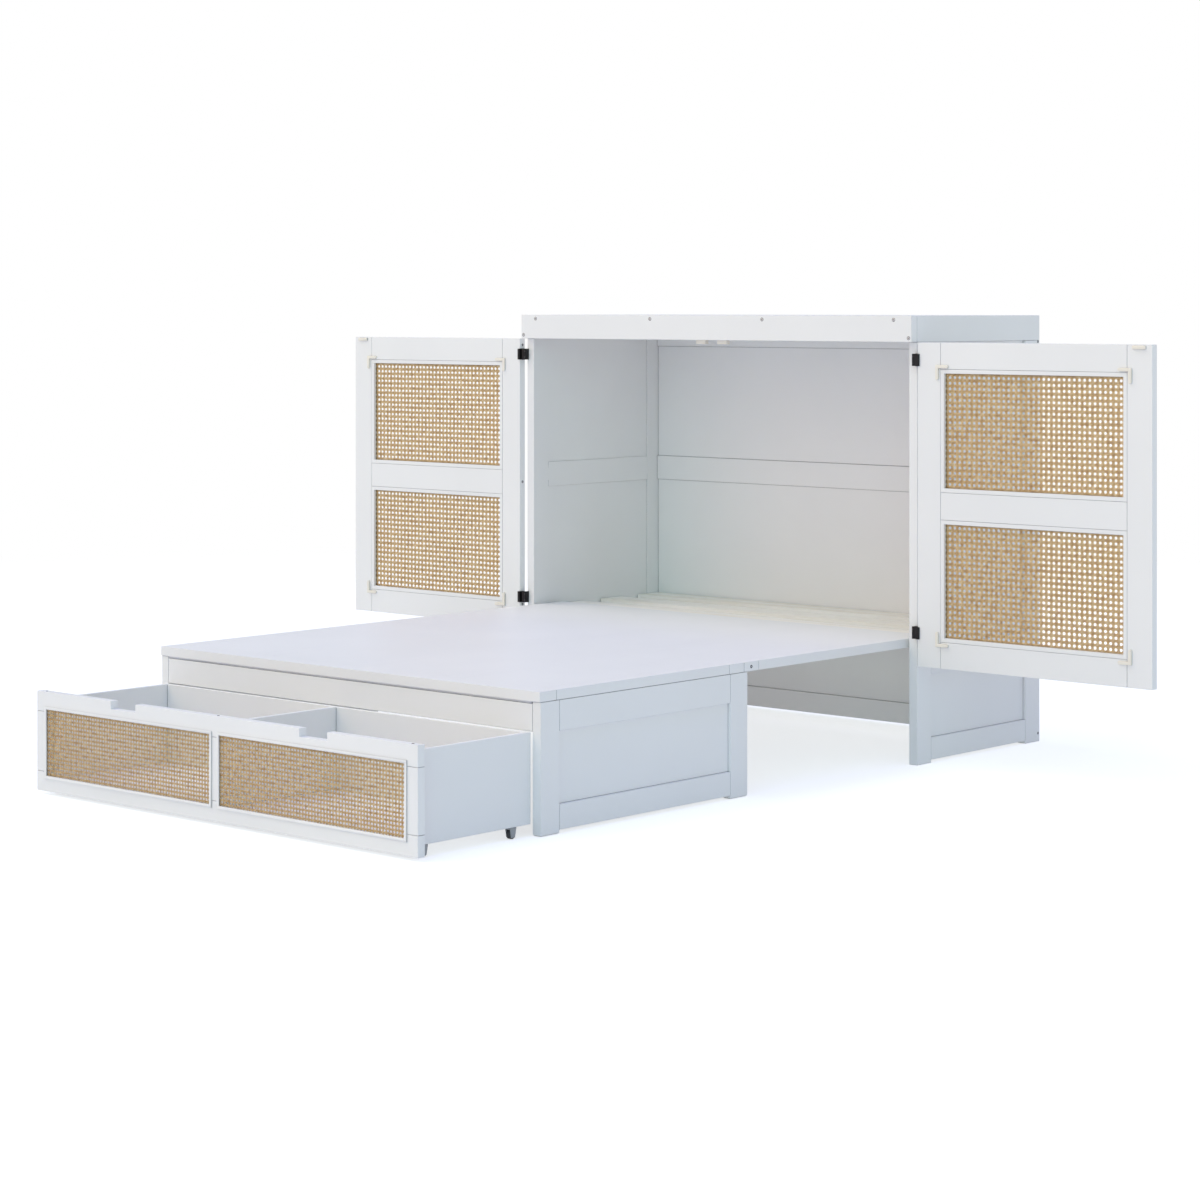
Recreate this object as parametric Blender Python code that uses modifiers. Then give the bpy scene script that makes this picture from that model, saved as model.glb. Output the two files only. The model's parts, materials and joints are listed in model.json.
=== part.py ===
"""Murphy wall bed: a cabinet with cane doors, a folding deck, a sliding base and a rolling drawer.

Units are metres and +Z is up. The origin is on the floor, in the middle of the open bed.
Doors open along +X and -X, and the bed unfolds towards -Y.
"""
import math

import bmesh
import bpy
from mathutils import Matrix, Vector

# Clearances and edges
GAP = 0.0003            # kept between pieces that touch
EDGE = 0.0012           # chamfer on painted boards
TENON = 0.002           # reach of a hidden tenon on each side of a joint
FINE_EDGE = 0.0006      # chamfer on thin pieces

# Cabinet
CABINET_WIDTH = 1.443
CABINET_DEPTH = 0.596
CABINET_HEIGHT = 1.213
PULL_OUT = 1.857        # post fronts to the foremost bead of the open drawer
BOARD = 0.027           # side frames, posts and base frames
FRONT_POST = 0.065
REAR_POST = 0.072
BACK_BOARD = 0.025
TOP_BOARD = 0.025
FASCIA_BOARD = 0.0271
FASCIA_BOTTOM = 1.1417
PANEL_RECESS = 0.0085   # outer face of a side panel behind its frame
SIDE_PANEL_BOARD = 0.016
BACK_PANEL_RECESS = 0.005
BOTTOM_RAIL_Z = (0.008, 0.068)
LOWER_RAIL_Z = (0.2415, 0.3135)
MIDDLE_RAIL_Z = (0.692, 0.766)
BACK_TOP_RAIL_Z = 1.113

# Bed slats and their cleats
SLAT_TOP = 0.333
SLAT_BOARD = 0.018
SLAT_WIDTH = 0.095
SLAT_FRONTS = (0.1265, 0.301, 0.4755)   # behind the post fronts
CLEAT_BOARD = 0.0072
CLEAT_HEIGHT = 0.030

# Doors
DOOR_WIDTH = 0.723
DOOR_Z = (0.2697, 1.1414)
DOOR_BOARD = 0.0227
DOOR_STILE = 0.074
DOOR_BOTTOM_RAIL_TOP = 0.341
DOOR_MIDDLE_RAIL_Z = (0.6675, 0.741)
DOOR_TOP_RAIL_BOTTOM = 1.070
HINGE_SETBACK = 0.00715     # axis to the cabinet side, and to the door edge
HINGE_FORWARD = 0.0109      # axis in front of the posts
DOOR_INNER_FACE = 0.0178    # open door's inner face in front of the posts
HINGE_Z = {"upper": 1.094, "lower": 0.3595}
HINGE_HEIGHT = 0.033
CANE_BOARD = 0.003
CANE_PLAY = 0.001       # around the drawer's cane, which clears the rounded corners
DOOR_CANE_RECESS = 0.0095
DOOR_BEAD = 0.011

# Deck
DECK_WIDTH = 1.372
DECK_TOP = 0.339
DECK_BOARD = 0.0245
DECK_RAIL = 0.058
DECK_STILE = 0.058
DECK_EDGE_STILE = 0.048
DECK_FRONT = -1.453         # from the post fronts
DECK_JOINT = -0.6965
DECK_REAR = 0.1175
DECK_PIVOT = 0.1055
DECK_INFILL_RECESS = 0.006  # on the underside only
DECK_HINGE_DROP = 0.0025    # hinge axis below the deck
DECK_HINGE_LENGTH = 1.200
DECK_KNUCKLES = 15

# Base
BASE_FRONT = -1.4495
BASE_REAR = -0.6833
BASE_TOP = 0.314
BASE_FRONT_LEG = 0.065
BASE_REAR_LEG = 0.0675
BASE_RAIL_Z = (0.2415, BASE_TOP)
BASE_BOTTOM_RAIL_Z = (0.009, 0.069)
BASE_CROSS_RAIL_Z = (0.2435, 0.3093)
BASE_PANEL_BOARD = 0.012
FOOT_ROUND = 0.005

# Drawer
FACE_WIDTH = 1.378
FACE_FRONT = -1.854
FACE_BOARD = 0.023
FACE_Z = (0.0085, 0.2607)
FACE_RAIL = 0.050
FACE_OPENING_X = (0.013, 0.652)
FACE_OPENING_Z = (0.0445, 0.221)
FACE_BEAD = 0.004
BEAD_PROUD = 0.003
BEAD_BED = 0.003        # overlap of a bead with the boards around it
FACE_CANE_RECESS = 0.0015
NOTCH_CENTRE = 0.345
NOTCH_WIDTH = 0.094
NOTCH_DEPTH = 0.020
DRAWER_HALF = 0.657
DRAWER_BOARD = 0.013
DRAWER_REAR = -1.4525
DRAWER_Z = (0.028, 0.243)
CASTER_X = 0.6455
CASTER_Y = {"front": -1.798, "rear": -1.509}
WHEEL_RADIUS = 0.0105
WHEEL_WIDTH = 0.012
AXLE_RADIUS = 0.0018

# Places worked out from the sizes
POST_FRONT = (PULL_OUT - CABINET_DEPTH) / 2
CABINET_REAR = POST_FRONT + CABINET_DEPTH
CABINET_HALF = CABINET_WIDTH / 2
CABINET_INSIDE = CABINET_HALF - BOARD
BACK_FACE = CABINET_REAR - BACK_BOARD
DECK_HALF = DECK_WIDTH / 2
DECK_BOTTOM = DECK_TOP - DECK_BOARD
BASE_INSIDE = DECK_HALF - BOARD
DOOR_START = CABINET_HALF + 2 * HINGE_SETBACK
DOOR_END = DOOR_START + DOOR_WIDTH
DOOR_Y = (POST_FRONT - DOOR_INNER_FACE, POST_FRONT - DOOR_INNER_FACE + DOOR_BOARD)
HINGE_X = CABINET_HALF + HINGE_SETBACK
HINGE_Y = POST_FRONT - HINGE_FORWARD
SIDES = {"left": -1, "right": 1}

# Finishes: colour, roughness, metallic
WHITE_PAINT = ((0.86, 0.88, 0.91), 0.45, 0.0)
PINE = ((0.86, 0.78, 0.64), 0.6, 0.0)
CANE = ((0.72, 0.52, 0.28), 0.6, 0.0)
BLACK_METAL = ((0.015, 0.015, 0.017), 0.4, 0.6)
STEEL = ((0.62, 0.62, 0.63), 0.35, 1.0)
CREAM_PLASTIC = ((0.86, 0.82, 0.73), 0.4, 0.0)
GREY_PLASTIC = ((0.33, 0.34, 0.36), 0.5, 0.0)
WHEEL_RUBBER = ((0.12, 0.12, 0.125), 0.7, 0.0)


def behind(distance):
    """World Y of a place this far behind the post fronts."""
    return POST_FRONT + distance


def clear_scene():
    for obj in list(bpy.data.objects):
        bpy.data.objects.remove(obj)
    for collection in list(bpy.data.collections):
        bpy.data.collections.remove(collection)


def new_collection(name):
    collection = bpy.data.collections.new(name)
    bpy.context.scene.collection.children.link(collection)
    return collection


clear_scene()
PARTS = new_collection("murphy_wall_bed")
CUTTERS = new_collection("cutters")


def joint_empty(name, place, parent=None):
    """An empty on a joint's axis. Its pieces are parented to it."""
    empty = bpy.data.objects.new(name, None)
    empty["place"] = place
    PARTS.objects.link(empty)
    hang(empty, Vector(place), parent)
    return empty


def hang(obj, place, parent):
    """Put an object at a world place, under a parent that isn't turned."""
    obj.parent = parent
    origin = Vector(parent["place"]) if parent else Vector()
    obj.location = place - origin


def finish(obj, look):
    """Give an object a Principled material of its own."""
    colour, roughness, metallic = look
    material = bpy.data.materials.new(obj.name)
    material.use_nodes = True
    shader = material.node_tree.nodes["Principled BSDF"]
    shader.inputs["Base Color"].default_value = (*colour, 1)
    shader.inputs["Roughness"].default_value = roughness
    shader.inputs["Metallic"].default_value = metallic
    obj.data.materials.append(material)


def add_piece(name, mesh, look, parent, place):
    obj = bpy.data.objects.new(name, mesh)
    PARTS.objects.link(obj)
    hang(obj, place, parent)
    finish(obj, look)
    return obj


def add_bevel(obj, width):
    bevel = obj.modifiers.new("edges", "BEVEL")
    bevel.width = width
    bevel.segments = 1
    bevel.limit_method = "ANGLE"


def cube_into(mesh, spans):
    """Add a box to a bmesh from its (low, high) spans along X, Y and Z."""
    size = [high - low for low, high in spans]
    centre = [(low + high) / 2 for low, high in spans]
    matrix = Matrix.Translation(centre) @ Matrix.Diagonal((*size, 1))
    bmesh.ops.create_cube(mesh, size=1, matrix=matrix)


def cylinder_into(mesh, centre, radius, length, axis="Z", sides=20):
    turn = {"X": Matrix.Rotation(math.pi / 2, 4, "Y"), "Y": Matrix.Rotation(math.pi / 2, 4, "X"),
            "Z": Matrix.Identity(4)}[axis]
    bmesh.ops.create_cone(mesh, cap_ends=True, segments=sides, radius1=radius, radius2=radius,
                          depth=length, matrix=Matrix.Translation(centre) @ turn)


def mesh_from(build, name, origin):
    """A mesh drawn by build(bmesh) in world coordinates, stored around an origin."""
    work = bmesh.new()
    build(work)
    bmesh.ops.translate(work, verts=work.verts, vec=-origin)
    mesh = bpy.data.meshes.new(name)
    work.to_mesh(mesh)
    work.free()
    return mesh


def boards(name, boxes, look=WHITE_PAINT, parent=None, edge=EDGE, feet=0):
    """Boards with chamfered edges, each given as spans along X, Y and Z. Feet rounds the edges on the floor."""
    origin = Vector(parent["place"]) if parent else Vector()

    def draw(work):
        for spans in boxes:
            cube_into(work, spans)
        if feet:
            on_floor = [line for line in work.edges if all(abs(corner.co.z) < GAP for corner in line.verts)]
            bmesh.ops.bevel(work, geom=on_floor, offset=feet, segments=3, profile=0.5, affect="EDGES")

    obj = add_piece(name, mesh_from(draw, name, origin), look, parent, origin)
    if edge:
        add_bevel(obj, edge)
    return obj


def board(name, spans, look=WHITE_PAINT, parent=None, edge=EDGE):
    """One plain board."""
    return boards(name, [spans], look, parent, edge)


def joined_boards(name, boxes, tenons, look=WHITE_PAINT, parent=None, feet=0):
    """Boards with a hairline joint between them, held together by hidden tenons."""
    obj = boards(name, boxes, look, parent, feet=feet)
    combine(obj, helper(f"{name}_tenons", tenons), "UNION")
    return obj


def helper(name, boxes):
    """A hidden object of boxes that cuts another, or is joined to it."""
    mesh = mesh_from(lambda work: [cube_into(work, spans) for spans in boxes], name, Vector())
    obj = bpy.data.objects.new(name, mesh)
    obj.hide_render = True
    obj.display_type = "WIRE"
    CUTTERS.objects.link(obj)
    return obj


def combine(obj, other, operation):
    boolean = obj.modifiers.new(other.name, "BOOLEAN")
    boolean.operation = operation
    boolean.solver = "EXACT"
    boolean.use_self = True
    boolean.object = other


def ring_helper(name, opening, y_span, width, bed):
    """A hidden strip all round an opening, reaching width into it and bed into the boards."""
    x_span, z_span = opening
    strip = helper(name, [(inset(x_span, -bed), y_span, inset(z_span, -bed))])
    window = (inset(x_span, width), inset(y_span, -0.01), inset(z_span, width))
    combine(strip, helper(f"{name}_window", [window]), "DIFFERENCE")
    return strip


def bead(name, opening, y_span, width, parent):
    """A flat bead that runs around the inside of an opening."""
    x_span, z_span = opening
    obj = board(name, (x_span, y_span, z_span), parent=parent, edge=0)
    window = (inset(x_span, width), inset(y_span, -0.01), inset(z_span, width))
    combine(obj, helper(f"{name}_window", [window]), "DIFFERENCE")
    add_bevel(obj, FINE_EDGE)


def sided(side, low, high):
    """A span along X that is mirrored to the left side."""
    return (low, high) if side > 0 else (-high, -low)


def inset(span, amount=GAP):
    return (span[0] + amount, span[1] - amount)


def middle_part(span, share=0.5):
    """The middle share of a span."""
    return inset(span, (span[1] - span[0]) * (1 - share) / 2)


def spaces_between(spans):
    """The clear spans between neighbouring boards, in the order given."""
    return [(low[1] + GAP, high[0] - GAP) for low, high in zip(spans, spans[1:])]


def end_tenons(span):
    """Spans of the two tenons at a board's ends, each reaching into its neighbour."""
    return [(span[0] - TENON, span[0] + TENON), (span[1] - TENON, span[1] + TENON)]


# ---------------------------------------------------------------- cabinet

def make_cabinet():
    for label, side in SIDES.items():
        make_cabinet_side(label, side)
        make_cleat(label, side)
        make_door_catch(label, side)
        make_cabinet_hinges(label, side)
    make_cabinet_back()
    inner_y = (POST_FRONT, BACK_FACE - GAP)
    across = inset((-CABINET_INSIDE, CABINET_INSIDE))
    board("top_board", (across, inner_y, (CABINET_HEIGHT - TOP_BOARD, CABINET_HEIGHT)))
    board("fascia", ((-CABINET_HALF, CABINET_HALF), (POST_FRONT - FASCIA_BOARD, POST_FRONT - GAP),
                     (FASCIA_BOTTOM, CABINET_HEIGHT)))
    slat_z = (SLAT_TOP - SLAT_BOARD, SLAT_TOP)
    for label, front in zip(("front", "middle", "rear"), SLAT_FRONTS):
        board(f"slat_{label}", (inset(across, 0.0005), (behind(front), behind(front) + SLAT_WIDTH), slat_z), PINE)


def make_cabinet_side(label, side):
    """Two posts under a top rail, and three rails between them. The middle rails clasp the panel."""
    front_post = (POST_FRONT, POST_FRONT + FRONT_POST)
    rear_post = (CABINET_REAR - REAR_POST, CABINET_REAR)
    between = spaces_between([front_post, rear_post])[0]
    frame_x = sided(side, CABINET_INSIDE, CABINET_HALF)
    panel_x = (CABINET_HALF - PANEL_RECESS - SIDE_PANEL_BOARD, CABINET_HALF - PANEL_RECESS)
    outer_x = sided(side, panel_x[1] + GAP, CABINET_HALF)
    inner_x = sided(side, CABINET_INSIDE, panel_x[0] - GAP)
    post_z = (0, FASCIA_BOTTOM - GAP)
    boxes = [(frame_x, post, post_z) for post in (front_post, rear_post)]
    boxes.append((frame_x, between, BOTTOM_RAIL_Z))
    boxes += [(layer, between, rail) for rail in (LOWER_RAIL_Z, MIDDLE_RAIL_Z) for layer in (outer_x, inner_x)]
    tenons = [(middle_part(layer), end, middle_part(rail)) for layer, _, rail in boxes[2:]
              for end in end_tenons(between)]
    boxes.append((frame_x, (POST_FRONT, CABINET_REAR), (FASCIA_BOTTOM, CABINET_HEIGHT)))
    tenons += [(middle_part(frame_x), middle_part(post), (post_z[1] - TENON, post_z[1] + TENON))
               for post in (front_post, rear_post)]
    joined_boards(f"cabinet_{label}_frame", boxes, tenons)
    board(f"cabinet_{label}_panel", (sided(side, *panel_x), between,
                                     inset((BOTTOM_RAIL_Z[1], FASCIA_BOTTOM))), edge=FINE_EDGE)


def make_cabinet_back():
    """Three rails with two panels between them, set back from the inner face."""
    across = inset((-CABINET_INSIDE, CABINET_INSIDE))
    rails = [BOTTOM_RAIL_Z, MIDDLE_RAIL_Z, (BACK_TOP_RAIL_Z, CABINET_HEIGHT)]
    panel_y = (BACK_FACE + BACK_PANEL_RECESS, CABINET_REAR - 0.004)
    spaces = spaces_between(rails)
    boxes = [(across, (BACK_FACE, CABINET_REAR), rail) for rail in rails]
    boxes += [(across, panel_y, space) for space in spaces]
    tenons = [(middle_part(across, 0.9), middle_part(panel_y), end) for space in spaces for end in end_tenons(space)]
    joined_boards("cabinet_back", boxes, tenons)


def make_cleat(label, side):
    """The strip that one end of each slat rests on."""
    top = SLAT_TOP - SLAT_BOARD - GAP
    x_span = sided(side, CABINET_INSIDE - GAP - CLEAT_BOARD, CABINET_INSIDE - GAP)
    board(f"{label}_slat_cleat", (x_span, (behind(FRONT_POST), BACK_FACE - GAP), (top - CLEAT_HEIGHT, top)), PINE)


def make_door_catch(label, side):
    """A catch behind the fascia for one door's meeting edge."""
    centre, half_width = 0.039, 0.0175
    x_span = sided(side, centre - half_width, centre + half_width)
    board(f"{label}_door_catch", (x_span, (behind(0.0005), behind(0.016)), (1.130, 1.165)), CREAM_PLASTIC)


def make_cabinet_hinges(label, side):
    """Fixed halves of a door's hinges: a block on the post, an arm, and the barrel on the axis."""
    block_x = sided(side, CABINET_HALF - 0.0063, CABINET_HALF - 0.001)
    arm_x = sided(side, CABINET_HALF - 0.003, HINGE_X)
    for level, height in HINGE_Z.items():
        z_span = (height - HINGE_HEIGHT / 2, height + HINGE_HEIGHT / 2)
        name = f"{label}_{level}_hinge_block"

        def draw_barrel(work):
            cylinder_into(work, (side * HINGE_X, HINGE_Y, height), 0.005, HINGE_HEIGHT + 0.001)

        barrel = add_piece(name, mesh_from(draw_barrel, name, Vector()), BLACK_METAL, None, Vector())
        solid = [(block_x, (HINGE_Y - 0.0050, POST_FRONT - GAP), z_span)]
        arm = [(arm_x, (HINGE_Y - 0.0042, HINGE_Y + 0.0044), inset(z_span, 0.0004))]
        combine(barrel, helper(f"{name}_arm", arm), "UNION")
        combine(barrel, helper(f"{name}_base", solid), "UNION")


# ---------------------------------------------------------------- doors

def make_door(label, side):
    """A framed door with two cane panels, standing open. Its empty is on the hinge axis."""
    axis = joint_empty(f"{label}_door_axis", (side * HINGE_X, HINGE_Y, 0))
    stiles = [(DOOR_START, DOOR_START + DOOR_STILE), (DOOR_END - DOOR_STILE, DOOR_END)]
    across = spaces_between(stiles)[0]
    rails = [(DOOR_Z[0], DOOR_BOTTOM_RAIL_TOP), DOOR_MIDDLE_RAIL_Z, (DOOR_TOP_RAIL_BOTTOM, DOOR_Z[1])]
    spaces = spaces_between(rails)
    cane_y = (DOOR_Y[0] + DOOR_CANE_RECESS, DOOR_Y[0] + DOOR_CANE_RECESS + CANE_BOARD)
    make_door_frame(f"{label}_door_frame", side, (stiles, across, rails), cane_y[1] + GAP, axis)
    across_x = sided(side, *across)
    for level, space in zip(("lower", "upper"), spaces):
        board(f"{label}_door_{level}_cane", (across_x, cane_y, space), CANE, axis, edge=0)
        bead(f"{label}_door_{level}_bead", (across_x, space), (DOOR_Y[0], cane_y[0] - GAP), DOOR_BEAD, axis)
    latch_x = sided(side, DOOR_END - 0.057, DOOR_END - 0.018)
    board(f"{label}_door_latch", (latch_x, (DOOR_Y[0] - 0.006, DOOR_Y[0] - GAP),
                                  (DOOR_Z[1] - 0.0125, DOOR_Z[1] - 0.0025)), CREAM_PLASTIC, axis, edge=0.002)
    for level, height in HINGE_Z.items():
        make_door_leaf(f"{label}_{level}_hinge_leaf", side, height, axis)


def make_door_frame(name, side, members, lip_y, parent):
    """Two stiles and three rails, with a lip behind each opening that the cane rests on."""
    stiles, across, rails = members
    boxes = [(sided(side, *stile), DOOR_Y, DOOR_Z) for stile in stiles]
    boxes += [(sided(side, *across), DOOR_Y, rail) for rail in rails]
    tenons = [(sided(side, *end), middle_part(DOOR_Y), middle_part(rail))
              for rail in rails for end in end_tenons(across)]
    frame = joined_boards(name, boxes, tenons, parent=parent)
    lip_depth = (lip_y, DOOR_Y[1] - 0.003)
    for level, space in zip(("lower", "upper"), spaces_between(rails)):
        opening = (sided(side, *across), space)
        combine(frame, ring_helper(f"{name}_{level}_lip", opening, lip_depth, DOOR_BEAD, TENON), "UNION")


def make_door_leaf(name, side, height, parent):
    """Moving half of a hinge: a plate on the door's edge with a tab on its inner face."""
    z_span = (height - HINGE_HEIGHT / 2, height + HINGE_HEIGHT / 2)
    plate_x = sided(side, HINGE_X + 0.0054, DOOR_START - GAP)
    tab_x = sided(side, HINGE_X + 0.0056, DOOR_START + 0.0062)
    leaf = board(name, (plate_x, (HINGE_Y - 0.0100, HINGE_Y + 0.0125), z_span), BLACK_METAL, parent, edge=0)
    tab = [(tab_x, (HINGE_Y - 0.0109, DOOR_Y[0] - GAP), inset(z_span, 0.0004))]
    combine(leaf, helper(f"{name}_tab", tab), "UNION")


# ---------------------------------------------------------------- deck

def make_deck_panel(name, front, rear, extras, parent):
    """Two cross rails, five stiles and four flush panels, joined into one deck panel."""
    z_span = (DECK_BOTTOM, DECK_TOP)
    across = (-DECK_HALF, DECK_HALF)
    rails = [(front, front + DECK_RAIL), (rear - DECK_RAIL, rear)]
    between = spaces_between(rails)[0]
    quarter = DECK_HALF / 2 - 0.004
    stiles = [(-DECK_HALF, -DECK_HALF + DECK_EDGE_STILE)]
    stiles += [(centre - DECK_STILE / 2, centre + DECK_STILE / 2) for centre in (-quarter, 0, quarter)]
    stiles += [(DECK_HALF - DECK_EDGE_STILE, DECK_HALF)]
    infills = spaces_between(stiles)
    boxes = [(across, rail, z_span) for rail in rails] + [(stile, between, z_span) for stile in stiles]
    boxes += [(infill, between, (DECK_BOTTOM + DECK_INFILL_RECESS, DECK_TOP)) for infill in infills]
    tenon_z = (DECK_TOP - 0.014, DECK_TOP - 0.006)
    tenons = [(middle_part(span), end, tenon_z) for span in stiles + infills for end in end_tenons(between)]
    return joined_boards(name, boxes, tenons + extras, parent=parent)


def make_deck_hinge(name, way, first_knuckle, parent):
    """A long leaf under one deck panel, with every second knuckle on the joint's axis."""
    axis_z = DECK_BOTTOM - DECK_HINGE_DROP
    edge_y = behind(DECK_JOINT)
    leaf_y = tuple(sorted((edge_y + way * 0.0026, edge_y + way * 0.024)))
    leaf_z = (DECK_BOTTOM - GAP - 0.0015, DECK_BOTTOM - GAP)
    half = DECK_HINGE_LENGTH / 2
    leaf = board(name, ((-half, half), leaf_y, leaf_z), STEEL, parent, edge=0)
    pitch = DECK_HINGE_LENGTH / DECK_KNUCKLES
    starts = [-half + pitch * index for index in range(first_knuckle, DECK_KNUCKLES, 2)]
    web_y = tuple(sorted((edge_y, edge_y + way * 0.0040)))
    web_z = (leaf_z[0] + 0.0002, leaf_z[1] - 0.0002)
    webs = [(inset((start, start + pitch), 0.0008), web_y, web_z) for start in starts]
    combine(leaf, helper(f"{name}_webs", webs), "UNION")

    def draw_knuckles(work):
        for start in starts:
            cylinder_into(work, (start + pitch / 2, edge_y, axis_z), 0.0022, pitch - 0.001, "X", 12)

    knuckles = bpy.data.objects.new(f"{name}_knuckles", mesh_from(draw_knuckles, name, Vector()))
    knuckles.hide_render = True
    knuckles.display_type = "WIRE"
    CUTTERS.objects.link(knuckles)
    combine(leaf, knuckles, "UNION")


def make_decks():
    """The middle panel turns on two pins in the cabinet, and the front panel on the middle one.

    A strip under the front panel closes the gap over the base's front rail.
    """
    pivot_z = (DECK_TOP + DECK_BOTTOM) / 2
    pivot = joint_empty("deck_pivot", (0, behind(DECK_PIVOT), pivot_z))
    pin = ((behind(DECK_PIVOT) - 0.004, behind(DECK_PIVOT) + 0.004), (pivot_z - 0.004, pivot_z + 0.004))
    pins = [(sided(side, DECK_HALF - 0.02, CABINET_INSIDE - GAP), *pin) for side in SIDES.values()]
    make_deck_panel("mid_deck", behind(DECK_JOINT) + GAP, behind(DECK_REAR), pins, pivot)
    make_deck_hinge("mid_deck_hinge", 1, 0, pivot)
    joint = joint_empty("deck_joint", (0, behind(DECK_JOINT), DECK_BOTTOM - DECK_HINGE_DROP), pivot)
    strip_y = (behind(BASE_FRONT), behind(BASE_FRONT) + 0.018)
    strip = (inset((-BASE_INSIDE, BASE_INSIDE), 0.0025), strip_y, (BASE_CROSS_RAIL_Z[1] + 0.0005, DECK_BOTTOM + TENON))
    make_deck_panel("front_deck", behind(DECK_FRONT), behind(DECK_JOINT) - GAP, [strip], joint)
    make_deck_hinge("front_deck_hinge", -1, 1, joint)


# ---------------------------------------------------------------- base

def make_base():
    """Two framed sides and two cross rails that carry the front deck and house the drawer."""
    front, rear = behind(BASE_FRONT), behind(BASE_REAR)
    slide = joint_empty("base_slide", (0, front, 0))
    legs = [(front, front + BASE_FRONT_LEG), (rear - BASE_REAR_LEG, rear)]
    between = spaces_between(legs)[0]
    rails = [BASE_BOTTOM_RAIL_Z, BASE_RAIL_Z]
    for label, side in SIDES.items():
        frame_x = sided(side, BASE_INSIDE, DECK_HALF)
        panel_x = sided(side, DECK_HALF - PANEL_RECESS - BASE_PANEL_BOARD, DECK_HALF - PANEL_RECESS)
        boxes = [(frame_x, leg, (0, BASE_TOP)) for leg in legs]
        boxes += [(frame_x, between, rail) for rail in rails]
        tenons = [(middle_part(frame_x), end, middle_part(rail)) for rail in rails for end in end_tenons(between)]
        joined_boards(f"base_{label}_frame", boxes, tenons, parent=slide, feet=FOOT_ROUND)
        board(f"base_{label}_panel", (panel_x, between, spaces_between(rails)[0]), parent=slide, edge=FINE_EDGE)
    across = inset((-BASE_INSIDE, BASE_INSIDE))
    for label, rail_y in (("front", (front, front + BOARD)), ("rear", (rear - BOARD, rear))):
        board(f"base_{label}_rail", (across, rail_y, BASE_CROSS_RAIL_Z), parent=slide)
    return slide


# ---------------------------------------------------------------- drawer

def make_drawer(base):
    front = behind(FACE_FRONT)
    slide = joint_empty("drawer_slide", (0, front, 0), base)
    make_drawer_face(front, slide)
    make_drawer_box(front + FACE_BOARD, slide)
    make_casters(slide)


def make_drawer_face(front, parent):
    """Rails full width, three stiles between, a raised bead round each opening, and the cane."""
    face_y = (front, front + FACE_BOARD)
    half = FACE_WIDTH / 2
    through = inset(face_y, -0.01)
    rails = [(FACE_Z[0], FACE_Z[0] + FACE_RAIL), (FACE_Z[1] - FACE_RAIL, FACE_Z[1])]
    stiles = [(-half, -FACE_OPENING_X[1]), (-FACE_OPENING_X[0], FACE_OPENING_X[0]), (FACE_OPENING_X[1], half)]
    stile_z = spaces_between(rails)[0]
    openings = [sided(side, *FACE_OPENING_X) for side in SIDES.values()]
    boxes = [((-half, half), face_y, rail) for rail in rails] + [(stile, face_y, stile_z) for stile in stiles]
    face = boards("drawer_face", boxes, parent=parent, edge=0)
    notches = [(sided(side, NOTCH_CENTRE - NOTCH_WIDTH / 2, NOTCH_CENTRE + NOTCH_WIDTH / 2), through,
                (FACE_Z[1] - NOTCH_DEPTH, FACE_Z[1] + 0.01)) for side in SIDES.values()]
    windows = [(opening, through, FACE_OPENING_Z) for opening in openings]
    combine(face, helper("drawer_face_cuts", notches + windows), "DIFFERENCE")
    add_bevel(face, EDGE)
    tenons = [(middle_part(stile, 0.6), middle_part(face_y), end) for stile in stiles for end in end_tenons(stile_z)]
    combine(face, helper("drawer_face_tenons", tenons), "UNION")
    cane_y = (front + FACE_CANE_RECESS, front + FACE_CANE_RECESS + CANE_BOARD)
    bead_y = (front - BEAD_PROUD, cane_y[0] - GAP)
    for label, opening in zip(SIDES, openings):
        strip = ring_helper(f"drawer_{label}_bead", (opening, FACE_OPENING_Z), bead_y, FACE_BEAD, BEAD_BED)
        combine(face, strip, "UNION")
        spans = (inset(opening, CANE_PLAY), cane_y, inset(FACE_OPENING_Z, CANE_PLAY))
        board(f"drawer_{label}_cane", spans, CANE, parent, edge=0)


def make_drawer_box(front, parent):
    rear = behind(DRAWER_REAR)
    inside = DRAWER_HALF - DRAWER_BOARD
    depth = (front + GAP, rear)
    clear = (front + GAP, rear - DRAWER_BOARD - GAP)
    across = inset((-inside, inside))
    floor_z = (DRAWER_Z[0] + 0.006, DRAWER_Z[0] + 0.012)
    for label, side in SIDES.items():
        board(f"drawer_{label}_side", (sided(side, inside, DRAWER_HALF), depth, DRAWER_Z), parent=parent)
    board("drawer_back", (across, (rear - DRAWER_BOARD, rear), DRAWER_Z), parent=parent)
    board("drawer_divider", ((-DRAWER_BOARD / 2, DRAWER_BOARD / 2), clear, (floor_z[1] + GAP, DRAWER_Z[1])),
          parent=parent)
    board("drawer_bottom", (across, clear, floor_z), parent=parent, edge=0)


def make_casters(parent):
    """Four fixed casters: a tapered housing with its axle, and a wheel turning on it."""
    for end, distance in CASTER_Y.items():
        for label, side in SIDES.items():
            place = (side * CASTER_X, behind(distance), WHEEL_RADIUS)
            make_caster_housing(f"{end}_{label}_caster", place, parent)
            make_wheel(f"{end}_{label}_wheel", joint_empty(f"{end}_{label}_axle", place, parent))


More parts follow.
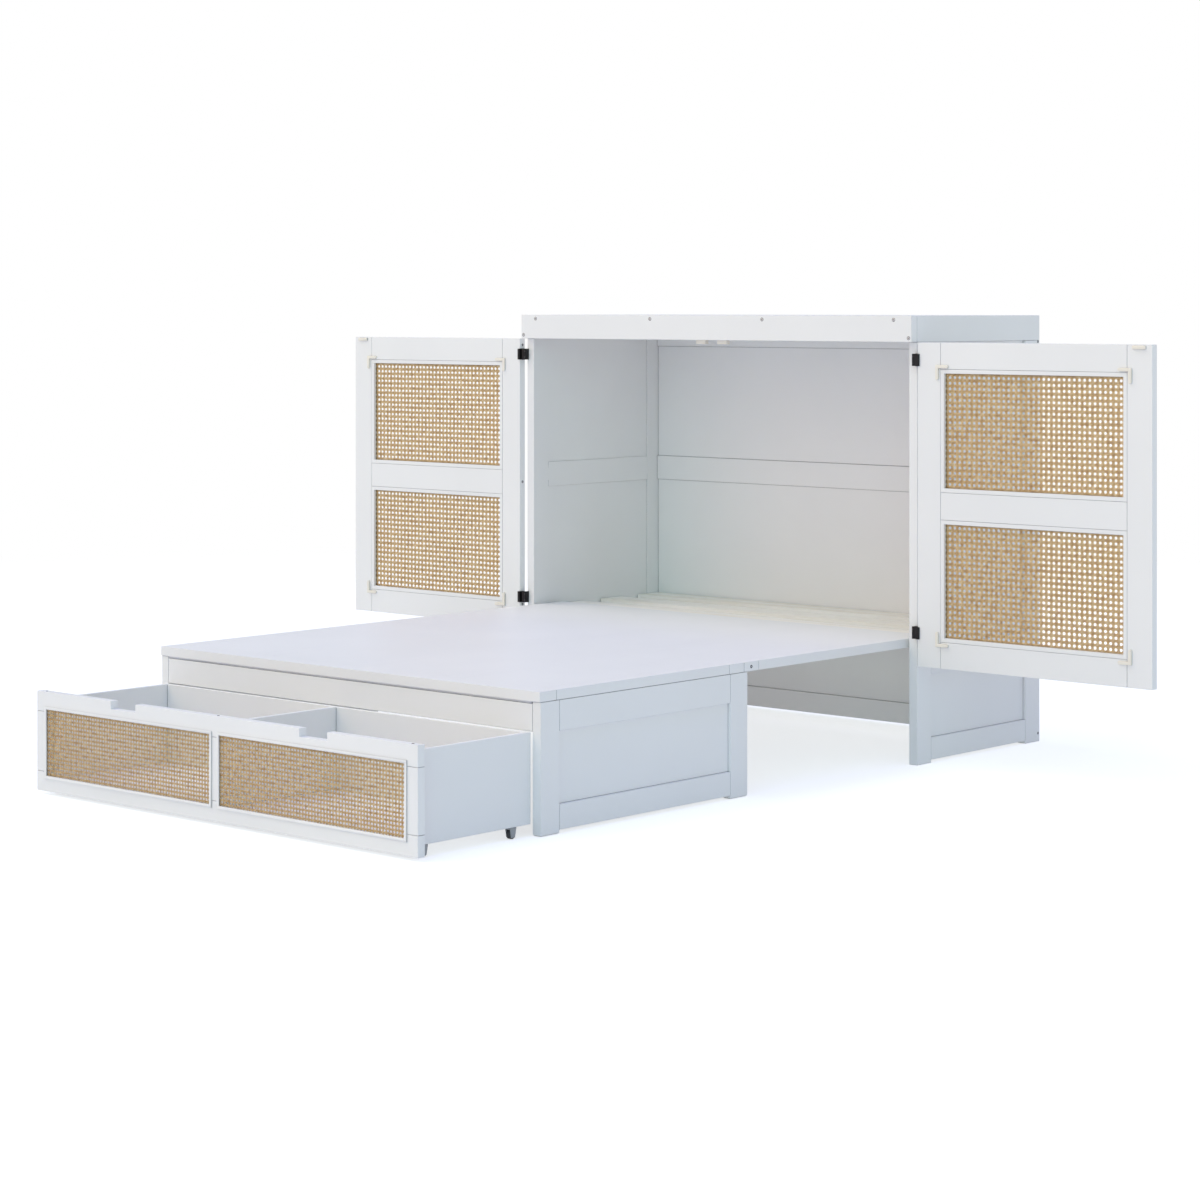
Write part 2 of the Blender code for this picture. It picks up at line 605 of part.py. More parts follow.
def make_caster_housing(name, place, parent):
    """A housing that tapers towards the floor, slotted for the wheel, with the axle across the slot."""
    x, y, _ = place
    top, bottom = DRAWER_Z[0] - GAP, 0.003
    origin = Vector(parent["place"])

    def draw_housing(work):
        cube_into(work, ((-0.5, 0.5), (-0.5, 0.5), (bottom, top)))
        for corner in work.verts:
            width, length = (0.0200, 0.0210) if corner.co.z > WHEEL_RADIUS else (0.0172, 0.0135)
            corner.co.x, corner.co.y = corner.co.x * width, corner.co.y * length
        bmesh.ops.translate(work, verts=work.verts, vec=(x, y, 0))

    def draw_axle(work):
        cylinder_into(work, place, AXLE_RADIUS, 0.0165, "X", 12)

    housing = add_piece(name, mesh_from(draw_housing, name, origin), GREY_PLASTIC, parent, origin)
    add_bevel(housing, 0.0012)
    slot = ((x - WHEEL_WIDTH / 2 - 0.0006, x + WHEEL_WIDTH / 2 + 0.0006), (y - 0.02, y + 0.02), (0, 0.0225))
    combine(housing, helper(f"{name}_slot", [slot]), "DIFFERENCE")
    axle = bpy.data.objects.new(f"{name}_axle", mesh_from(draw_axle, name, Vector()))
    axle.hide_render = True
    axle.display_type = "WIRE"
    CUTTERS.objects.link(axle)
    combine(housing, axle, "UNION")


def make_wheel(name, axle):
    """A wheel turned around X, with a bore for its axle."""
    half = WHEEL_WIDTH / 2
    bore, shoulder = AXLE_RADIUS + 0.0004, 0.001
    profile = [(WHEEL_RADIUS - shoulder, half), (WHEEL_RADIUS, half - shoulder),
               (WHEEL_RADIUS, shoulder - half), (WHEEL_RADIUS - shoulder, -half), (bore, -half), (bore, half)]
    mesh = bpy.data.meshes.new(name)
    count = len(profile)
    mesh.from_pydata([(radius, 0, up) for radius, up in profile],
                     [(index, (index + 1) % count) for index in range(count)], [])
    wheel = add_piece(name, mesh, WHEEL_RUBBER, axle, Vector(axle["place"]))
    wheel.rotation_euler = (0, math.pi / 2, 0)
    screw = wheel.modifiers.new("turn", "SCREW")
    screw.angle = 2 * math.pi
    screw.steps = screw.render_steps = 24
    screw.use_merge_vertices = True
    screw.merge_threshold = 0.00001


make_cabinet()
for door_label, door_side in SIDES.items():
    make_door(door_label, door_side)
make_decks()
make_drawer(make_base())
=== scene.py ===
"""Looks for the murphy wall bed: finishes, woven cane, fittings, light and camera.

Everything is in metres in the CAD frame: the cabinet stands at +Y, the bed reaches towards -Y,
and the doors stand open along -X and +X.
"""
import json
import math

import bpy
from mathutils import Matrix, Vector


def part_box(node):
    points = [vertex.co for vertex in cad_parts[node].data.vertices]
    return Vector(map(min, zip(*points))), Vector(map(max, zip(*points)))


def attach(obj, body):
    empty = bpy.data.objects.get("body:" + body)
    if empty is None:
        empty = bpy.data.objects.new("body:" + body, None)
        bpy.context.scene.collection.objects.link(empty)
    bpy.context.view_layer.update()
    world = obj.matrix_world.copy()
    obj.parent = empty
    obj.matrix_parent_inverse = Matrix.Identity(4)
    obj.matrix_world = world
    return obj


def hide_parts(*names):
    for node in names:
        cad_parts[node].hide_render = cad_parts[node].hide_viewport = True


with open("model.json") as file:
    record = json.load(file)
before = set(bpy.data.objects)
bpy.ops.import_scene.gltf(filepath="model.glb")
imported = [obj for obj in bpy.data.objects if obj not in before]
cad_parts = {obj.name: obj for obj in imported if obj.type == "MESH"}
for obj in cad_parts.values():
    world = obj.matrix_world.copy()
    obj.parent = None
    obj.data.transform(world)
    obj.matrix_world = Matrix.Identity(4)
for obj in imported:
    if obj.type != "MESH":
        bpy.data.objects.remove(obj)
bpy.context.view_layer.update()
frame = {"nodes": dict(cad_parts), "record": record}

SIDES = {"left": -1, "right": 1}
X, Y, Z = Vector((1, 0, 0)), Vector((0, 1, 0)), Vector((0, 0, 1))


# ---------------------------------------------------------------- materials

class Finish:
    """A Principled material under construction, with short ways to add nodes."""

    def __init__(self, name, colour, roughness, metallic=0.0):
        self.material = bpy.data.materials.new(name)
        self.material.use_nodes = True
        self.nodes = self.material.node_tree.nodes
        self.links = self.material.node_tree.links
        self.shader = self.nodes["Principled BSDF"]
        self.shader.inputs["Base Color"].default_value = (*colour, 1)
        self.shader.inputs["Roughness"].default_value = roughness
        self.shader.inputs["Metallic"].default_value = metallic
        self.place = self.nodes.new("ShaderNodeTexCoord").outputs["Object"]

    def add(self, kind, settings=None, **inputs):
        """A node with its settings, whose inputs are values or the outputs of other nodes."""
        node = self.nodes.new(kind)
        for setting, value in (settings or {}).items():
            setattr(node, setting, value)
        for label, value in inputs.items():
            socket = node.inputs[label.replace("_", " ")]
            if isinstance(value, bpy.types.NodeSocket):
                self.links.new(value, socket)
            else:
                socket.default_value = value
        return node

    def stretched(self, scale):
        return self.add("ShaderNodeMapping", Vector=self.place, Scale=scale).outputs["Vector"]

    def noise(self, scale, detail, vector=None, distortion=0.0):
        node = self.add("ShaderNodeTexNoise", Vector=vector or self.place, Scale=scale, Detail=detail,
                        Distortion=distortion)
        return node.outputs["Fac"]

    def ramp(self, value, stops):
        node = self.add("ShaderNodeValToRGB", Fac=value)
        elements = node.color_ramp.elements
        while len(elements) < len(stops):
            elements.new(0.5)
        for element, (place, colour) in zip(elements, stops):
            element.position = place
            element.color = (*colour, 1)
        return node.outputs["Color"]

    def levels(self, value, low, high):
        return self.add("ShaderNodeMapRange", Value=value, To_Min=low, To_Max=high).outputs["Result"]

    def tint(self, colour, share, other):
        """A colour that goes over to another colour by a share from 0 to 1."""
        node = self.add("ShaderNodeMix", {"data_type": "RGBA", "blend_type": "MIX"})
        # The node's colour sockets share their names with others, so they go by their places.
        share_socket, colour_socket, other_socket = (node.inputs[place] for place in (0, 6, 7))
        self.links.new(share, share_socket)
        self.links.new(colour, colour_socket)
        other_socket.default_value = (*other, 1)
        return node.outputs[2]

    def painted_joint_shade(self, colour, shade, reach=0.0040, closed=0.35, clear=0.74, most=0.60):
        """A colour with painted shade inside narrow joints and corners, where a few millimetres are closed
        in.
        """
        openness = self.add("ShaderNodeAmbientOcclusion", {"samples": 12}, Distance=reach).outputs["AO"]
        share = self.add("ShaderNodeMapRange", Value=openness, From_Min=closed, From_Max=clear, To_Min=most,
                         To_Max=0.0)
        return self.tint(colour, share.outputs["Result"], shade)

    def colour(self, output):
        self.links.new(output, self.shader.inputs["Base Color"])

    def rough(self, output):
        self.links.new(output, self.shader.inputs["Roughness"])

    def bump(self, height, distance, strength):
        node = self.add("ShaderNodeBump", Height=height, Distance=distance, Strength=strength)
        self.links.new(node.outputs["Normal"], self.shader.inputs["Normal"])


def white_paint():
    """Sprayed satin paint: nearly even, with faint cloudiness, a fine orange peel and painted shade in its
    joints and corners.
    """
    finish = Finish("white_paint", (0.86, 0.87, 0.88), 0.42)
    paint = finish.ramp(finish.noise(2.2, 3.0), [(0.3, (0.835, 0.842, 0.850)),
                                                 (0.7, (0.872, 0.878, 0.885))])
    # Painted shade: the paint darkens towards grey-blue where joints and corners are closed in.
    finish.colour(finish.painted_joint_shade(paint, (0.22, 0.24, 0.27)))
    finish.rough(finish.levels(finish.noise(14.0, 3.0), 0.36, 0.50))
    finish.bump(finish.noise(420.0, 1.0), 0.00012, 0.35)
    return finish.material


def pine(along):
    """Bare softwood with its grain along the board, which runs along one axis."""
    finish = Finish("pine_" + "xyz"[along], (0.86, 0.78, 0.64), 0.6)
    coarse, fine = [34.0, 34.0, 34.0], [260.0, 260.0, 260.0]
    coarse[along], fine[along] = 1.6, 6.0
    grain = finish.noise(1.0, 5.0, finish.stretched(coarse), 0.6)
    fibre = finish.noise(1.0, 2.0, finish.stretched(fine))
    base = finish.ramp(grain, [(0.35, (0.90, 0.86, 0.79)),
                               (0.50, (0.95, 0.93, 0.89)),
                               (0.68, (0.97, 0.96, 0.93))])
    finish.colour(finish.tint(base, finish.levels(fibre, 0.0, 0.12), (0.78, 0.69, 0.56)))
    finish.bump(fibre, 0.0002, 0.4)
    return finish.material


def rattan(name, reach, most):
    """Split cane: a glossy skin that runs from straw to light brown, with painted shade under the crossings
    and near the frame.
    """
    finish = Finish(name, (0.62, 0.41, 0.18), 0.38)
    strand = finish.noise(95.0, 2.0)
    fibre = finish.noise(900.0, 2.0)
    base = finish.ramp(strand, [(0.30, (0.54, 0.315, 0.12)),
                                (0.50, (0.77, 0.52, 0.235)),
                                (0.72, (0.94, 0.74, 0.43))])
    skin = finish.tint(base, finish.levels(fibre, 0.0, 0.30), (0.42, 0.24, 0.10))
    # Painted shade: the skin darkens to brown under the crossings and where the frame closes in.
    finish.colour(finish.painted_joint_shade(skin, (0.10, 0.065, 0.03), reach, 0.30, 0.80, most))
    finish.rough(finish.levels(strand, 0.3, 0.55))
    finish.bump(fibre, 0.0001, 0.5)
    return finish.material


def metal(name, colour, roughness, metallic=1.0):
    finish = Finish(name, colour, roughness, metallic)
    finish.rough(finish.levels(finish.noise(120.0, 3.0), roughness * 0.8, roughness * 1.25))
    finish.bump(finish.noise(600.0, 2.0), 0.00006, 0.4)
    return finish.material


def plastic(name, colour, roughness):
    finish = Finish(name, colour, roughness)
    darker = tuple(channel * 0.93 for channel in colour)
    finish.colour(finish.ramp(finish.noise(20.0, 3.0), [(0.3, darker), (0.7, colour)]))
    finish.bump(finish.noise(900.0, 1.0), 0.00008, 0.5)
    return finish.material


WHITE = white_paint()
PINE_ALONG_X, PINE_ALONG_Y = pine(0), pine(1)
RATTAN = rattan("rattan", 0.0036, 0.92)
FINE_RATTAN = rattan("fine_rattan", 0.0016, 0.55)
BLACK = metal("black_metal", (0.018, 0.018, 0.020), 0.42, 0.6)
STEEL = metal("zinc_steel", (0.74, 0.74, 0.75), 0.42)
DARK_STEEL = metal("dark_steel", (0.10, 0.10, 0.11), 0.40, 0.9)
CREAM = plastic("cream_plastic", (0.88, 0.84, 0.75), 0.40)
GREY = plastic("grey_plastic", (0.36, 0.37, 0.39), 0.42)
RUBBER = plastic("wheel_rubber", (0.05, 0.05, 0.055), 0.65)
LOOKS = {"white_painted_wood": WHITE, "pine": PINE_ALONG_X, "cane": RATTAN, "black_metal": BLACK,
         "steel": STEEL, "cream_plastic": CREAM, "grey_plastic": GREY, "wheel_rubber": RUBBER}


# ---------------------------------------------------------------- meshes

SHARP_EDGE = 0.7


def piece(name, points, faces, look, body):
    """A new object from points and faces, which rides on a CAD body."""
    mesh = bpy.data.meshes.new(name)
    mesh.from_pydata([tuple(point) for point in points], [], faces)
    mesh.validate()
    mesh.materials.append(look)
    for polygon in mesh.polygons:
        polygon.use_smooth = True
    obj = bpy.data.objects.new(name, mesh)
    bpy.context.scene.collection.objects.link(obj)
    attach(obj, body)
    return obj


def soften(obj, width):
    """Rounded edges with flat faces kept flat."""
    bevel = obj.modifiers.new("soft_edges", "BEVEL")
    bevel.width = width
    bevel.segments = 3
    bevel.limit_method = "ANGLE"
    bevel.angle_limit = 0.6
    bevel.harden_normals = True


class Shapes:
    """Points and faces of several shapes that become one piece."""

    def __init__(self):
        self.points, self.faces = [], []

    def add(self, points, faces):
        start = len(self.points)
        self.points += points
        self.faces += [tuple(start + index for index in face) for face in faces]

    def outline(self, corners, place, across, up, out, depth):
        """A flat outline of (across, up) corners, raised by depth along out."""
        base = [place + across * u + up * v for u, v in corners]
        count = len(base)
        points = base + [point + out * depth for point in base]
        around = [(i, (i + 1) % count, count + (i + 1) % count, count + i) for i in range(count)]
        faces = [tuple(reversed(range(count))), tuple(range(count, 2 * count))] + around
        if across.cross(up).dot(out) < 0:
            faces = [tuple(reversed(face)) for face in faces]
        self.add(points, faces)

    def turned(self, place, out, profile, steps, hexagon=()):
        """A profile of (radius, height) pairs turned round out. Rings listed in hexagon are six-sided."""
        across = out.orthogonal().normalized()
        up = out.cross(across)
        points = []
        for ring, (radius, height) in enumerate(profile):
            for step in range(steps):
                angle = 2 * math.pi * step / steps
                reach = radius
                if ring in hexagon:
                    reach /= math.cos((angle + math.pi / 6) % (math.pi / 3) - math.pi / 6)
                sideways = across * reach * math.cos(angle) + up * reach * math.sin(angle)
                points.append(place + sideways + out * height)
        faces = []
        for ring in range(len(profile) - 1):
            for step in range(steps):
                after = (step + 1) % steps
                low, high = ring * steps, (ring + 1) * steps
                faces.append((low + step, low + after, high + after, high + step))
        faces.append(tuple(reversed(range(steps))))
        last = (len(profile) - 1) * steps
        faces.append(tuple(last + step for step in range(steps)))
        self.add(points, faces)

    def piece(self, name, look, body, slot):
        return piece(name, self.points, self.faces, look, body)


def socket_head(radius, proud):
    """Profile of a low domed screw head with a hexagonal socket, and its six-sided rings."""
    socket = radius * 0.42
    dome = [(radius * 0.96, -0.0002), (radius, proud * 0.25), (radius * 0.93, proud * 0.75),
            (radius * 0.75, proud)]
    hollow = [(socket * 1.12, proud), (socket, proud * 0.8), (socket * 0.97, -0.0001)]
    return dome + hollow, range(len(dome), len(dome) + len(hollow))


def screws(name, body, places, out, radius, proud, look=DARK_STEEL):
    """Screw heads in one group, each at a place on a surface that faces out."""
    shapes = Shapes()
    profile, hexagon = socket_head(radius, proud)
    for place in places:
        shapes.turned(Vector(place), out, profile, 24, hexagon)
    obj = shapes.piece(name, look, body, "steel")
    obj.data.set_sharp_from_angle(angle=SHARP_EDGE)


def recess_shade_rings(name, body, places, out, radius):
    """Dark rings around screw heads, just proud of the surface: painted shade of the recess round each
    head.
    """
    shapes = Shapes()
    profile = [(radius, -0.0003), (radius, 0.00012), (radius * 0.8, 0.0002)]
    for place in places:
        shapes.turned(Vector(place), out, profile, 32)
    obj = shapes.piece(name, DARK_STEEL, body, "steel")
    obj.data.set_sharp_from_angle(angle=SHARP_EDGE)


# ---------------------------------------------------------------- finishes on the CAD nodes

def finish_nodes():
    """Each CAD node gets its finish, and chamfers that shade as rounded edges."""
    slots = {part["node"]: part["material_slot"] for part in frame["record"]["subparts"]}
    for name, obj in frame["nodes"].items():
        mesh = obj.data
        mesh.materials.clear()
        # The slats lie along X and their cleats along Y, and the grain follows the board.
        mesh.materials.append(PINE_ALONG_Y if name.endswith("slat_cleat") else LOOKS[slots[name]])
        custom = mesh.attributes.get("custom_normal")
        if custom:
            mesh.attributes.remove(custom)
        weld = obj.modifiers.new("weld", "WELD")
        weld.merge_threshold = 0.00001
        for polygon in mesh.polygons:
            polygon.use_smooth = True
        weighted = obj.modifiers.new("flat_faces", "WEIGHTED_NORMAL")
        weighted.weight = 100
        weighted.keep_sharp = False


# ---------------------------------------------------------------- woven cane

STRAND_RISE = 0.00042
DIAGONAL_RISE = 2.2 * STRAND_RISE
WEAVE_MARGIN = 0.0004
TINY = 1e-6

DOOR_PITCH, DOOR_HOLES, DOOR_STRAND = (0.01552, 0.0150), (35, 20), 0.0031
DRAWER_PITCH, DRAWER_HOLES, DRAWER_STRAND = (0.0103, 0.0100), (61, 16), 0.0017


class Weave:
    """Cane webbing in a plane that faces -Y: pairs of strands both ways, and crossing diagonals.

    The open holes sit on a grid across X and up Z. Pairs run between the holes, and the diagonals
    cross each other halfway between two neighbouring holes, which cuts the corners of every hole.
    """

    def __init__(self, spans, first_hole, pitch, width):
        self.x_span, self.y, self.z_span = spans
        self.first, self.pitch, self.width = first_hole, pitch, width
        self.points, self.faces = [], []

    def lines(self, axis):
        """Places of the pairs across one axis: half a pitch from the holes, and beyond at both ends."""
        span = (self.x_span, self.z_span)[axis]
        start = self.first[axis] - self.pitch[axis] / 2
        low = math.ceil((span[0] + self.width - start) / self.pitch[axis])
        high = math.floor((span[1] - self.width - start) / self.pitch[axis])
        return [start + index * self.pitch[axis] for index in range(low, high + 1)]

    def strand(self, path):
        """One ribbon with a domed face on both sides, along (x, rise, z) points."""
        if len(path) < 2:
            return
        start = len(self.points)
        thick = self.width * 0.20
        for index, (x, rise, z) in enumerate(path):
            before, after = path[max(index - 1, 0)], path[min(index + 1, len(path) - 1)]
            along = Vector((after[0] - before[0], 0, after[2] - before[2])).normalized()
            across = Vector((along.z, 0, -along.x)) * (self.width / 2)
            middle = Vector((x, self.y - rise, z))
            self.points += [middle - across, middle - Y * thick, middle + across, middle + Y * thick]
        for index in range(len(path) - 1):
            low, high = start + index * 4, start + index * 4 + 4
            self.faces += [(low + k, low + (k + 1) % 4, high + (k + 1) % 4, high + k) for k in range(4)]
        end = start + (len(path) - 1) * 4
        self.faces += [(start + 3, start + 2, start + 1, start), (end, end + 1, end + 2, end + 3)]

    def pairs(self, axis):
        """Strands that run along the other axis, two by two, in plain weave with the crossing pairs."""
        other = 1 - axis
        low, high = (self.x_span, self.z_span)[other]
        apart = self.width * 0.60
        for centre in self.lines(axis):
            for which, offset in enumerate((-apart, apart)):
                rise = STRAND_RISE if (which + axis) % 2 else -STRAND_RISE
                path = [(low, 0.0)]
                for crossing in self.lines(other):
                    path += [(crossing - apart, rise), (crossing + apart, -rise)]
                    path.append((crossing + self.pitch[other] / 2, 0.0))
                path = forward([(min(max(place, low), high), rise) for place, rise in path], 0)
                if axis == 0:
                    self.strand([(centre + offset, rise, place) for place, rise in path])
                else:
                    self.strand([(place, rise, centre + offset) for place, rise in path])

    def diagonals(self, way):
        """Slanting strands, which pass the upright pairs on one side and the level ones on the other."""
        first_x, first_z = self.first
        step_x, step_z = self.pitch[0] / 2, self.pitch[1] / 2
        across = int((self.x_span[1] - self.x_span[0]) / self.pitch[0]) + 3
        up = int((self.z_span[1] - self.z_span[0]) / self.pitch[1]) + 3
        for line in range(-up - 2, across + 3):
            path = []
            for step in range(-3, 2 * up + 1):
                # Walk up the panel half a cell at a time, through the middles of the holes' sides.
                x = first_x + (2 * line - 1) * step_x + way * step * step_x
                if way < 0:
                    x += 2 * up * step_x
                upright = step % 2 == 0
                rise = DIAGONAL_RISE if upright else -DIAGONAL_RISE
                path.append((x, way * rise, first_z + step * step_z))
            self.strand(self.clipped(path))

    def clipped(self, path):
        """The part of a straight slanting path inside the panel."""
        kept = []
        for start, end in zip(path, path[1:]):
            enter, leave = 0.0, 1.0
            for (low, high), a, b in ((self.x_span, start[0], end[0]), (self.z_span, start[2], end[2])):
                near, far = sorted(((low - a) / (b - a), (high - a) / (b - a)))
                enter, leave = max(enter, near), min(leave, far)
            if enter < leave - TINY:
                cut = [tuple(s + (e - s) * share for s, e in zip(start, end)) for share in (enter, leave)]
                if not kept or kept[-1] != cut[0]:
                    kept.append(cut[0])
                kept.append(cut[1])
        return forward(kept, 2)


def forward(path, axis):
    """The points of a path without those that go no further along the axis than the point before."""
    return [point for index, point in enumerate(path)
            if index == 0 or point[axis] > path[index - 1][axis] + TINY]


def weave_panel(node, body, holes, pitch, width, look):
    """Woven cane in place of a CAD node, with (across, up) open holes in the middle of it."""
    low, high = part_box(node)
    centre = ((low.x + high.x) / 2, (low.z + high.z) / 2)
    first_hole = tuple(middle - (count - 1) / 2 * step for middle, count, step in zip(centre, holes, pitch))
    spans = ((low.x + WEAVE_MARGIN, high.x - WEAVE_MARGIN), (low.y + high.y) / 2,
             (low.z + WEAVE_MARGIN, high.z - WEAVE_MARGIN))
    weave = Weave(spans, first_hole, pitch, width)
    weave.pairs(0)
    weave.pairs(1)
    weave.diagonals(1)
    weave.diagonals(-1)
    obj = piece(node + "_woven", weave.points, weave.faces, look, body)
    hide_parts(node)


def weave_all():
    for label in SIDES:
        for level in ("lower", "upper"):
            weave_panel(f"{label}_door_{level}_cane", f"{label}_door",
                        DOOR_HOLES, DOOR_PITCH, DOOR_STRAND, RATTAN)
        weave_panel(f"drawer_{label}_cane", "drawer",
                    DRAWER_HOLES, DRAWER_PITCH, DRAWER_STRAND, FINE_RATTAN)


# ---------------------------------------------------------------- fittings

DOOR_BOLT_HEIGHTS = (1.122, 0.707, 0.336)

BRACKET_REACH, BRACKET_WIDTH, BRACKET_THICKNESS = 0.040, 0.0088, 0.0058
BRACKET_END, BRACKET_SOFTNESS = 0.0025, 0.0014
BRACKET_BOTTOM, BRACKET_TOP = 0.3278, 1.0815
BRACKET_FROM_HINGE = (0.0607, 0.6640)

HINGE_FRONT = 0.0159
HINGE_SCREW_INSET, HINGE_SCREW_OFFSETS = 0.0028, (-0.009, 0.009)

FASCIA_UPPER_SCREWS = [(x, 1.2015) for x in (-0.6625, -0.208, 0.208, 0.6625)]
FASCIA_LOWER_SCREWS = [(x, 1.1525) for x in (-0.712, 0.712)]
SIDE_SCREW_HEIGHTS, SIDE_SCREW_INSET = (1.138, 0.023), 0.0085

DECK_HALF_WIDTH = 0.686
DECK_BOLT_HEIGHT, DECK_BOLT_INSET = 0.326, 0.0277
DRAWER_SCREWS, DRAWER_SCREW_INSET = (-0.662, 0, 0.662), 0.0115


def fit_doors():
    for label, side in SIDES.items():
        low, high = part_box(f"{label}_door_frame")
        hinge_edge = low.x if side > 0 else high.x
        corner_brackets(label, side, hinge_edge, low.y)
        places = [(hinge_edge, (low.y + high.y) / 2, z) for z in DOOR_BOLT_HEIGHTS]
        screws(f"{label}_door_edge_bolts", f"{label}_door", places, -side * X, radius=0.0036, proud=0.0007)
        hinge_screws(label, side)


def corner_brackets(label, side, hinge_edge, face):
    """Cream corner pieces at the four outer corners of the pair of openings."""
    reach, wide, end = BRACKET_REACH, BRACKET_WIDTH, BRACKET_END
    corners = [(0, 0), (reach - end, 0), (reach, end), (reach, wide - end), (reach - end, wide),
               (wide, wide), (wide, reach - end), (wide - end, reach), (end, reach), (0, reach - end)]
    near, far = (hinge_edge + side * distance for distance in BRACKET_FROM_HINGE)
    shapes = Shapes()
    for x, x_way in ((near, side), (far, -side)):
        for z, z_way in ((BRACKET_TOP, -1), (BRACKET_BOTTOM, 1)):
            shapes.outline(corners, Vector((x, face, z)), X * x_way, Z * z_way, -Y, BRACKET_THICKNESS)
    brackets = shapes.piece(f"{label}_door_corner_brackets", CREAM, f"{label}_door", "cream_plastic")
    soften(brackets, BRACKET_SOFTNESS)


def hinge_screws(label, side):
    """Two small screws in the front of each hinge block, beside its barrel."""
    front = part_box("cabinet_left_frame")[0].y - HINGE_FRONT
    for level in ("upper", "lower"):
        low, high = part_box(f"{label}_{level}_hinge_block")
        x = (low.x if side > 0 else high.x) + side * HINGE_SCREW_INSET
        places = [(x, front, (low.z + high.z) / 2 + offset) for offset in HINGE_SCREW_OFFSETS]
        screws(f"{label}_{level}_hinge_screws", "cabinet", places, -Y, radius=0.0019, proud=0.0002)


def fit_cabinet():
    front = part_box("fascia")[0].y
    places = [(x, front, z) for x, z in FASCIA_UPPER_SCREWS + FASCIA_LOWER_SCREWS]
    # Painted shade: dark rings stand for the shaded recess round each fascia screw.
    recess_shade_rings("fascia_countersinks", "cabinet", places, -Y, radius=0.0052)
    screws("fascia_screws", "cabinet", places, -Y, radius=0.0040, proud=0.0007, look=STEEL)
    for label, side in SIDES.items():
        low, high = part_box(f"cabinet_{label}_frame")
        outer = high.x if side > 0 else low.x
        places = [(outer, high.y - SIDE_SCREW_INSET, z) for z in SIDE_SCREW_HEIGHTS]
        screws(f"cabinet_{label}_side_screws", "cabinet", places, side * X, radius=0.0036, proud=0.0006)


def fit_deck():
    """A bolt in each end of the middle deck, close to the joint between the two deck panels."""
    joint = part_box("mid_deck")[0].y
    for label, side in SIDES.items():
        places = [(side * DECK_HALF_WIDTH, joint + DECK_BOLT_INSET, DECK_BOLT_HEIGHT)]
        screws(f"mid_deck_{label}_bolt", "mid_deck", places, side * X, radius=0.0042, proud=0.0008)


def fit_drawer():
    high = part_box("drawer_face")[1]
    places = [(x, high.y - DRAWER_SCREW_INSET, high.z) for x in DRAWER_SCREWS]
    screws("drawer_face_top_screws", "drawer", places, Z, radius=0.0034, proud=0.0005)


# ---------------------------------------------------------------- stage, light and camera

def floor_material():
    """Pale floor that takes soft shadows near the object and fades to plain white further off."""
    finish = Finish("studio_floor", (0.60, 0.64, 0.68), 0.9)
    finish.shader.inputs["Specular IOR Level"].default_value = 0.0
    away = finish.add("ShaderNodeVectorMath", {"operation": "LENGTH"}, Vector=finish.place).outputs["Value"]
    far = finish.add("ShaderNodeMapRange", {"interpolation_type": "SMOOTHSTEP"}, Value=away, From_Min=2.6,
                     From_Max=7.0).outputs["Result"]
    # The floor glows more for the camera than for the object above it.
    seen = finish.add("ShaderNodeLightPath").outputs["Is Camera Ray"]
    glow = finish.add("ShaderNodeEmission", Color=(1, 1, 1, 1), Strength=finish.levels(seen, 0.21, 0.60))
    near = finish.nodes.new("ShaderNodeAddShader")
    finish.links.new(finish.shader.outputs["BSDF"], near.inputs[0])
    finish.links.new(glow.outputs["Emission"], near.inputs[1])
    plain = finish.add("ShaderNodeEmission", Color=(1, 1, 1, 1), Strength=1.0)
    mix = finish.add("ShaderNodeMixShader", Fac=far)
    finish.links.new(near.outputs["Shader"], mix.inputs[1])
    finish.links.new(plain.outputs["Emission"], mix.inputs[2])
    finish.links.new(mix.outputs["Shader"], finish.nodes["Material Output"].inputs["Surface"])
    return finish.material


def make_stage():
    mesh = bpy.data.meshes.new("floor")
    reach = 60
    corners = [(-reach, -reach, 0), (reach, -reach, 0), (reach, reach, 0), (-reach, reach, 0)]
    mesh.from_pydata(corners, [], [(0, 1, 2, 3)])
    mesh.materials.append(floor_material())
    floor = bpy.data.objects.new("floor", mesh)
    floor.location.z = -0.0005
    bpy.context.scene.collection.objects.link(floor)


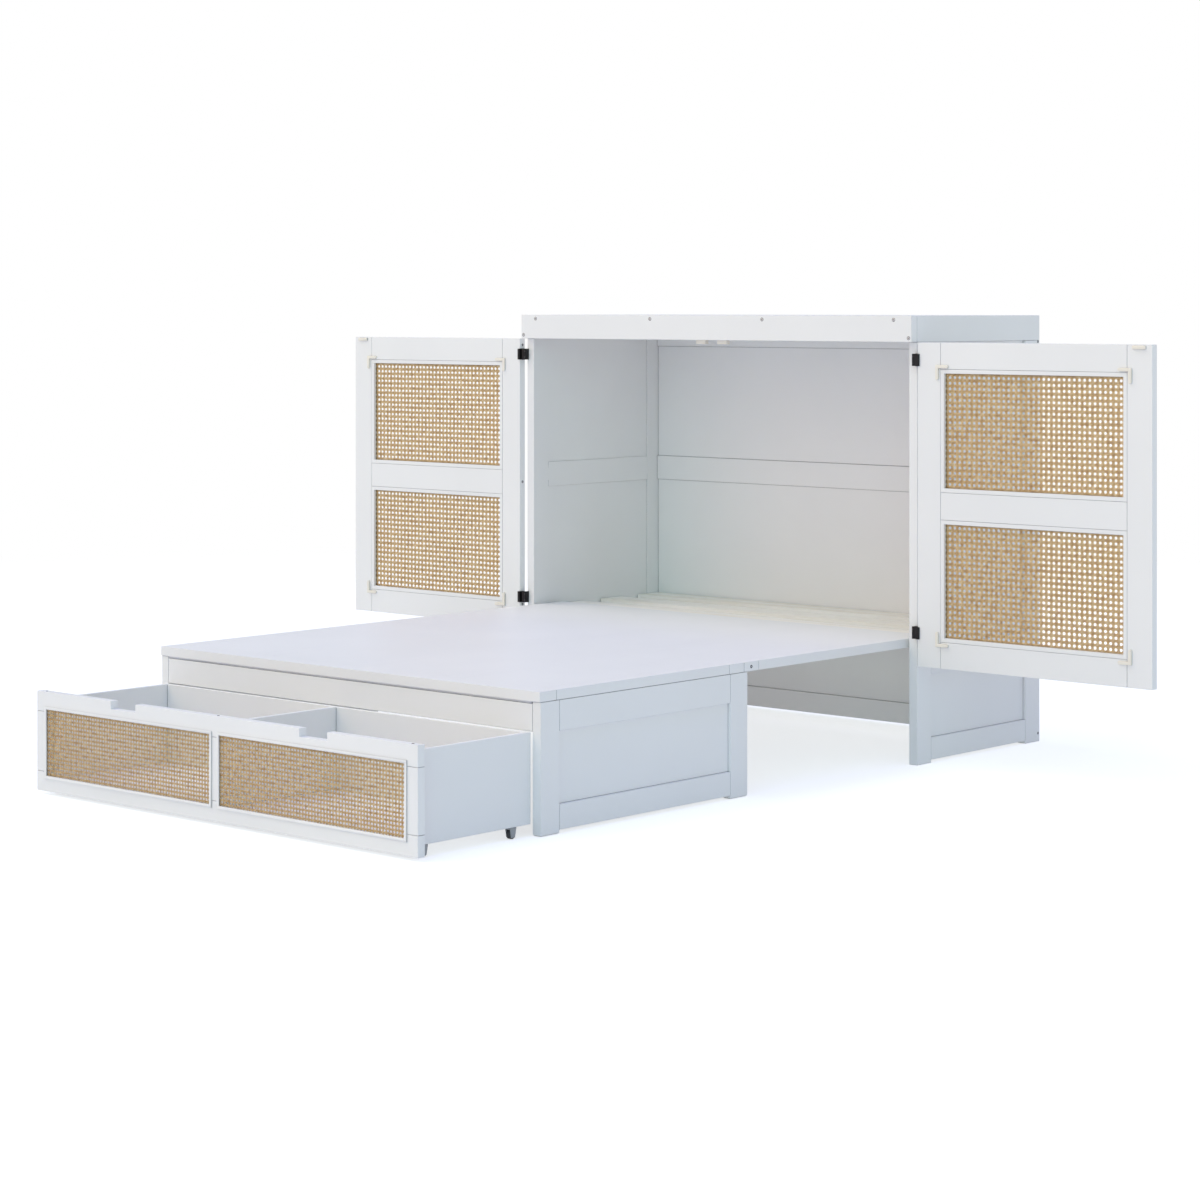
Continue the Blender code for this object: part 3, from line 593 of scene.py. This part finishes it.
def soft_sun(name, turn, height, spread, irradiance):
    """Even light from a broad patch of sky: degrees from -Y towards +X, degrees up, and degrees across."""
    light = bpy.data.lights.new(name, "SUN")
    light.angle = math.radians(spread)
    light.energy = math.pi * max(irradiance)
    light.color = [channel / max(irradiance) for channel in irradiance]
    turn, height = math.radians(turn), math.radians(height)
    level = math.cos(height)
    towards = Vector((math.sin(turn) * level, -math.cos(turn) * level, math.sin(height)))
    obj = bpy.data.objects.new(name, light)
    obj.rotation_euler = towards.to_track_quat("Z", "Y").to_euler()
    bpy.context.scene.collection.objects.link(obj)


def make_world():
    """Soft light from all round, which the camera sees as plain white."""
    world = bpy.data.worlds.new("studio")
    world.use_nodes = True
    nodes, links = world.node_tree.nodes, world.node_tree.links
    soft = nodes["Background"]
    soft.inputs["Color"].default_value = (0.550, 0.592, 0.590, 1)
    soft.inputs["Strength"].default_value = 1.0
    seen = nodes.new("ShaderNodeBackground")
    seen.inputs["Color"].default_value = (1, 1, 1, 1)
    path = nodes.new("ShaderNodeLightPath")
    mix = nodes.new("ShaderNodeMixShader")
    links.new(path.outputs["Is Camera Ray"], mix.inputs["Fac"])
    links.new(soft.outputs["Background"], mix.inputs[1])
    links.new(seen.outputs["Background"], mix.inputs[2])
    links.new(mix.outputs["Shader"], nodes["World Output"].inputs["Surface"])
    bpy.context.scene.world = world


def make_lights():
    soft_sun("key", -60, 55, 50, (0.379, 0.355, 0.245))
    soft_sun("front_left", -15, 15, 60, (0.142, 0.030, 0.006))
    soft_sun("front_right", 20, 22, 60, (0.046, 0.126, 0.128))
    soft_sun("sky", 0, 89, 60, (0.001, 0.001, 0.208))


def make_camera():
    data = bpy.data.cameras.new("camera")
    data.sensor_fit = "HORIZONTAL"
    data.sensor_width = 36
    data.lens = 86.6145
    data.shift_y = -0.24413
    data.clip_start, data.clip_end = 0.1, 200
    camera = bpy.data.objects.new("camera", data)
    camera.location = (5.2753, -5.7405, 1.2349)
    camera.rotation_euler = (math.pi / 2, 0, 0.73001)
    bpy.context.scene.collection.objects.link(camera)
    bpy.context.scene.camera = camera


finish_nodes()
weave_all()
fit_doors()
fit_cabinet()
fit_deck()
fit_drawer()
make_stage()
make_world()
make_lights()
make_camera()
bpy.context.scene.view_settings.view_transform = "Standard"
